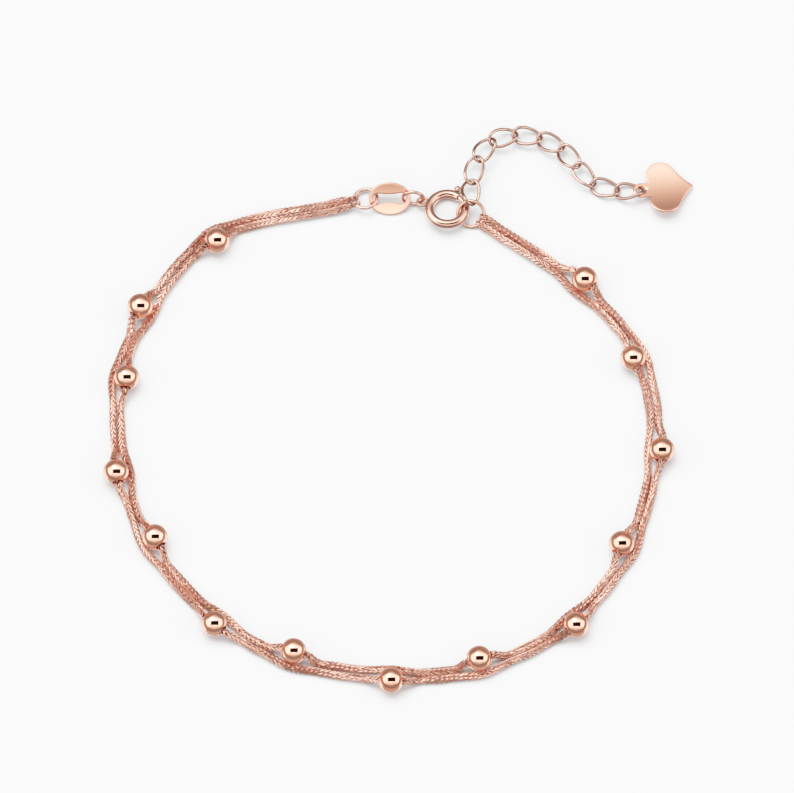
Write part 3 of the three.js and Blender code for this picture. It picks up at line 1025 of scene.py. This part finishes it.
# %% Write a helper that cuts or joins
def cut_or_join(name, base, other, operation):
    """One boolean between two meshes, returned as a plain mesh."""
    holder, tool = (add_object(name, plain_mesh(name, mesh)) for mesh in (base, other))
    modifier = holder.modifiers.new("join", "BOOLEAN")
    modifier.operation = operation
    modifier.solver = "EXACT"
    modifier.object = tool
    depsgraph = bpy.context.evaluated_depsgraph_get()
    result = bmesh.new()
    result.from_mesh(bpy.data.meshes.new_from_object(holder.evaluated_get(depsgraph)))
    for used in (holder, tool):
        bpy.data.objects.remove(used)
    return result


# %% Bend the tube and cut its slot
SPRING_RADIUS = 1.87 * MM
SPRING_TILT = (12.5, 270)
TUBE_RADIUS, TUBE_BORE = 0.47 * MM, 0.32 * MM
TUBE_LIP = 0.05 * MM
MOUTH = (15, 50)
SLOT = (radians(58), radians(116))
SLOT_HALF = 0.18 * MM
SLOT_INSIDE = 1.02 * SPRING_RADIUS      # the cut starts just outside the bore's middle
EYELET = {"at": 160, "reach": 2.74 * MM, "radius": 0.52 * MM, "wire": 0.14 * MM}

hinge = frame["joints"][0]
spring_centre = Vector(hinge["pos_m"])
spring_turn = tilt_turn(*SPRING_TILT)


def hollow_tube(start, end, steps, sides):
    """A bent tube with a wall and rounded lips, its outside and bore joined at both ends."""
    lip = degrees(TUBE_LIP / SPRING_RADIUS)
    angles = [start + lip + (end - start - 2 * lip) * i / steps for i in range(steps + 1)]
    rounding = [(0, TUBE_RADIUS - TUBE_LIP),
                (lip * CORNER_SHARE, TUBE_RADIUS - TUBE_LIP * CORNER_SHARE)]
    circles = [(start + inwards, radius) for inwards, radius in rounding]
    circles += [(angle, TUBE_RADIUS) for angle in angles]
    circles += [(end - inwards, radius) for inwards, radius in reversed(rounding)]
    circles += [(angle, TUBE_BORE) for angle in (end, *reversed(angles), start)]
    rows = []
    for angle, radius in circles:
        spoke = spoke_at(radians(angle))
        rows.append([spoke * (SPRING_RADIUS + radius * cos(t)) + UP * radius * sin(t)
                     for t in even_turns(sides)])
    return mesh_from_rows(rows)


def slot_cutter():
    """A flat wedge that stands where the slot is to be."""
    far = SPRING_RADIUS + 2 * TUBE_RADIUS
    corners = ((SLOT_INSIDE, -1), (far, -1), (far, 1), (SLOT_INSIDE, 1))
    rows = [[spoke * reach + UP * SLOT_HALF * side for reach, side in corners]
            for spoke in arc_path(1, *SLOT, steps=24)]
    return mesh_from_rows(rows, closed=False)


def eyelet_mesh():
    ring = hoop_mesh(EYELET["radius"], EYELET["wire"], steps=48, sides=16)
    ring.transform(Matrix.Translation(spoke_at(radians(EYELET["at"])) * EYELET["reach"]))
    return ring


tube = hollow_tube(MOUTH[1], MOUTH[0] + 360, steps=150, sides=32)
tube = cut_or_join("tube", tube, slot_cutter(), "DIFFERENCE")
tube = cut_or_join("tube", tube, eyelet_mesh(), "UNION")
finish_piece("spring_ring_tube", place(tube, spring_centre, spring_turn), gold["spring"],
             "spring_ring_body")


# %% [markdown]
# The knob is a ball on a short pin. It is turned in one go, ball and pin together, as the real
# one is, and then joined to the bent rod.

# %% Make the sliding gate
GATE = (radians(11), radians(108))
GATE_RADIUS = 0.25 * MM
GATE_PIN_AT = 66
PIN_RADIUS = 0.12 * MM
KNOB_RADIUS = 0.36 * MM
KNOB_REACH = 2.68 * MM
KNOB_STEPS, KNOB_SIDES = 18, 32
KNOB_END = 0.12              # the ball closes with a tiny flat, this many radians across


def knob_rows():
    """Circles along the pin and over the ball, from the rod outwards."""
    neck = asin(PIN_RADIUS / KNOB_RADIUS)
    profile = [(SPRING_RADIUS, PIN_RADIUS)]
    for k in range(KNOB_STEPS + 1):
        angle = pi - neck - (pi - neck - KNOB_END) * k / KNOB_STEPS
        profile.append((KNOB_REACH + KNOB_RADIUS * cos(angle), KNOB_RADIUS * sin(angle)))
    spoke = spoke_at(radians(GATE_PIN_AT))
    side = UP.cross(spoke)
    return [[spoke * reach + (side * cos(t) + UP * sin(t)) * radius
             for t in even_turns(KNOB_SIDES)] for reach, radius in profile]


rod = round_rows(arc_path(SPRING_RADIUS, *GATE, steps=40), GATE_RADIUS, sides=24)
rod = mesh_from_rows(rod, closed=False)
gate = cut_or_join("gate", rod, mesh_from_rows(knob_rows(), closed=False), "UNION")
finish_piece("spring_ring_gate", place(gate, spring_centre, spring_turn), gold["spring"],
             "spring_ring_trigger", body="trigger")


# %% [markdown]
# ## The extender
# Ten oval links of round wire, each twisted so that the row lies flat. Geometry Nodes bend one
# link and set it at ten points, which carry each link's own turn.

# %% Build and run the extender tree
LINK_PITCH = 2.60 * MM
LINK_HALF_LENGTH, LINK_HALF_WIDTH = 1.505 * MM, 0.90 * MM
LINK_TWIST = -0.43 / MM      # height of the wire for each unit of x times y
LINK = {"Wire": 0.172 * MM, "Half Length": LINK_HALF_LENGTH, "Half Width": LINK_HALF_WIDTH,
        "Lift": LINK_TWIST * LINK_HALF_LENGTH * LINK_HALF_WIDTH}
LINK_POINTS, LINK_SIDES = 64, 16
LINK_TURNS = [               # heading and roll in degrees, and the far joint's height in mm
    (88, 11, 1.20), (75, 0, 1.47), (55.5, -5, 1.21), (17.5, 2, 0.93), (-7, 0, 0.68),
    (-28, 0, 0.85), (-53, 0, 1.08), (-48, -13, 0.52), (-14.5, 0, 0.43), (-6, -16, 0.96),
]


def make_link_tree():
    tree, given, result = new_tree("curb_links", LINK, Material="Material")
    x, y = unit_circle_place(tree)
    long_way = times(tree, x, given["Half Length"])
    wide_way = times(tree, y, given["Half Width"])
    height = times(tree, x, y, given["Lift"])
    oval = wire_oval(tree, given["Wire"], long_way, wide_way, height, LINK_POINTS, LINK_SIDES)
    turns = add_node(tree, "GeometryNodeInputNamedAttribute", {"Name": "turn"},
                     data_type="FLOAT_VECTOR")
    rotation = add_node(tree, "FunctionNodeEulerToRotation", {"Euler": turns.outputs["Attribute"]})
    end_tree(tree, given["Geometry"], oval, rotation.outputs[0], given["Material"],
             result["Geometry"])
    return tree


link_names = [f"extender_link_{number:02d}" for number in range(1, len(LINK_TURNS) + 1)]
link_places = [centre_of(name) for name in link_names]
link_points = bpy.data.meshes.new("link_points")
link_points.from_pydata(link_places, [], [])
turn_attribute = link_points.attributes.new("turn", "FLOAT_VECTOR", "POINT")
for i, ((heading, roll, far), centre) in enumerate(zip(LINK_TURNS, link_places)):
    climb = asin(2 * (far * MM - centre.z) / LINK_PITCH)
    turn_attribute.data[i].vector = (radians(roll), -climb, radians(heading))

extender = run_tree(make_link_tree(), link_points, Material=gold["wire"], **LINK)
finish_piece("extender_links", extender, gold["wire"], *link_names)


# %% [markdown]
# ## The heart tag
# A small plate, stamped out with a soft edge and left very slightly hollow along its length, so
# that its mirror finish runs from bright to deep rose. The outline is four arcs joined by hollow
# sides. Rings of points shrink from it to the middle over both faces, and a cutter with flared
# ends makes the hole.

# %% Stamp the heart
HEART_LOBE = {"radius": 1.58 * MM, "along": 2.32 * MM, "aside": 1.46 * MM}
HEART_TIP = {"radius": 0.28 * MM, "along": 5.58 * MM}
HEART_LUG = 0.84 * MM
HEART_LUG_ASIDE = 0.9 * HEART_LUG        # where the lug runs into the lobes
HEART_HOLE = 0.48 * MM
HEART_MIDDLE = Vector((2.20 * MM, 0, 0))
HEART_THICK = 0.32 * MM
HEART_EDGE = 0.10 * MM
HEART_EDGE_STEPS = 6
HEART_SHARES = [0.02 + 0.14 * k for k in range(7)]     # how far out each ring of a face is
HEART_FLARE = 0.07 * MM
HEART_HOLE_SIDES = 48
HEART_HOLLOW = radians(8)
HEART_BOW = (-0.093, 0.064 / MM, 1.50 * MM)      # its lean, its dish and where it is level
HEART_SHIFT = Vector((0, 0.10 * MM, 0.08 * MM))
HEART_TURN = turned(-6, 6.7, 8)


def hollow_side(start, start_normal, end, end_normal, steps=16):
    """Points between two arcs on a curve that leaves each along its edge."""
    normals = [spoke_at(angle).to_2d() for angle in (start_normal, end_normal)]
    reaches = [normals[0].dot(start.to_2d()), normals[1].dot(end.to_2d())]
    cross = normals[0].cross(normals[1])
    corner = Vector(((reaches[0] * normals[1].y - reaches[1] * normals[0].y) / cross,
                     (reaches[1] * normals[0].x - reaches[0] * normals[1].x) / cross, 0))
    shares = [k / steps for k in range(1, steps)]
    return [start * (1 - t) ** 2 + corner * 2 * t * (1 - t) + end * t ** 2 for t in shares]


def heart_outline():
    """Round the lug, one lobe, the rounded point and the other lobe, with hollow sides."""
    lobe, along, aside = HEART_LOBE.values()
    tip = HEART_TIP["radius"]
    tip_centre = HEART_TIP["along"] - tip * sqrt(2)
    quarter = pi / 2
    between = hypot(tip_centre - along, aside)
    lean = atan2(aside, tip_centre - along)
    tangent = quarter - lean - asin((lobe - tip) / between)
    leave, arrive = tangent - HEART_HOLLOW, tangent + HEART_HOLLOW
    lug_end = acos((aside - HEART_LUG_ASIDE) / lobe)
    lug = arc_path(HEART_LUG, quarter, 3 * quarter, steps=24)
    lobe_centre, point_centre = Vector((along, aside, 0)), Vector((tip_centre, 0, 0))
    upper = arc_path(lobe, leave, 3 * quarter - lug_end, steps=44, centre=lobe_centre)
    lower = [Vector((point.x, -point.y, 0)) for point in reversed(upper)]
    point = arc_path(tip, -arrive, arrive, steps=14, centre=point_centre)
    return [*lug, *lower, *hollow_side(lower[-1], -leave, point[0], -arrive),
            *point, *hollow_side(point[-1], arrive, upper[0], leave), *upper]


def heart_rings():
    """The outline at each step from the lower face's middle over the edge to the upper one's."""
    steps = [(share, 0.0) for share in HEART_SHARES]
    steps += [(None, 90 * k / HEART_EDGE_STEPS) for k in range(HEART_EDGE_STEPS + 1)]
    outline = heart_outline()
    rings = []
    for face in (-1, 1):
        half = []
        for share, edge in steps:
            angle = radians(edge)
            inset = HEART_EDGE * (1 - sin(angle))
            height = HEART_THICK / 2 - HEART_EDGE * (1 - cos(angle))
            ring = []
            for point in outline:
                spoke = point - HEART_MIDDLE
                reach = 1 - inset / spoke.length if share is None else share
                ring.append(HEART_MIDDLE + spoke * reach + UP * face * height)
            half.append(ring)
        rings += half if face < 0 else half[-2::-1]
    return [[dished(point, *HEART_BOW) for point in ring] for ring in rings]


def hole_cutter():
    """A round bar that flares where it leaves each face."""
    level = dished(Vector(), *HEART_BOW).z
    half = HEART_THICK / 2
    upper = [(half - HEART_FLARE * 1.2, 0), (half - HEART_FLARE * 0.5, 0.2), (half, 0.9),
             (2 * half, 2.5)]
    profile = [(-height, flare) for height, flare in reversed(upper)] + upper
    rows = [[spoke_at(t) * (HEART_HOLE + HEART_FLARE * flare) + UP * (level + height)
             for t in even_turns(HEART_HOLE_SIDES)] for height, flare in profile]
    return mesh_from_rows(rows, closed=False)


def heart_place():
    """Moves the turned outline onto the solid, level with it where the lug begins."""
    corners = [HEART_TURN @ (point + UP * side * HEART_THICK / 2)
               for point in heart_outline() for side in (-1, 1)]
    low, high = (Vector([pick(axis) for axis in zip(*corners)]) for pick in (min, max))
    heart_low, heart_high = (Vector(corner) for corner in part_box("heart_tag"))
    shift = (heart_low + heart_high - low - high) / 2
    shift.x = heart_low.x - low.x
    return shift + HEART_SHIFT


heart = cut_or_join("heart", mesh_from_rows(heart_rings(), closed=False), hole_cutter(),
                    "DIFFERENCE")
finish_piece("heart_tag_plate", place(heart, heart_place(), HEART_TURN), gold["plate"], "heart_tag")
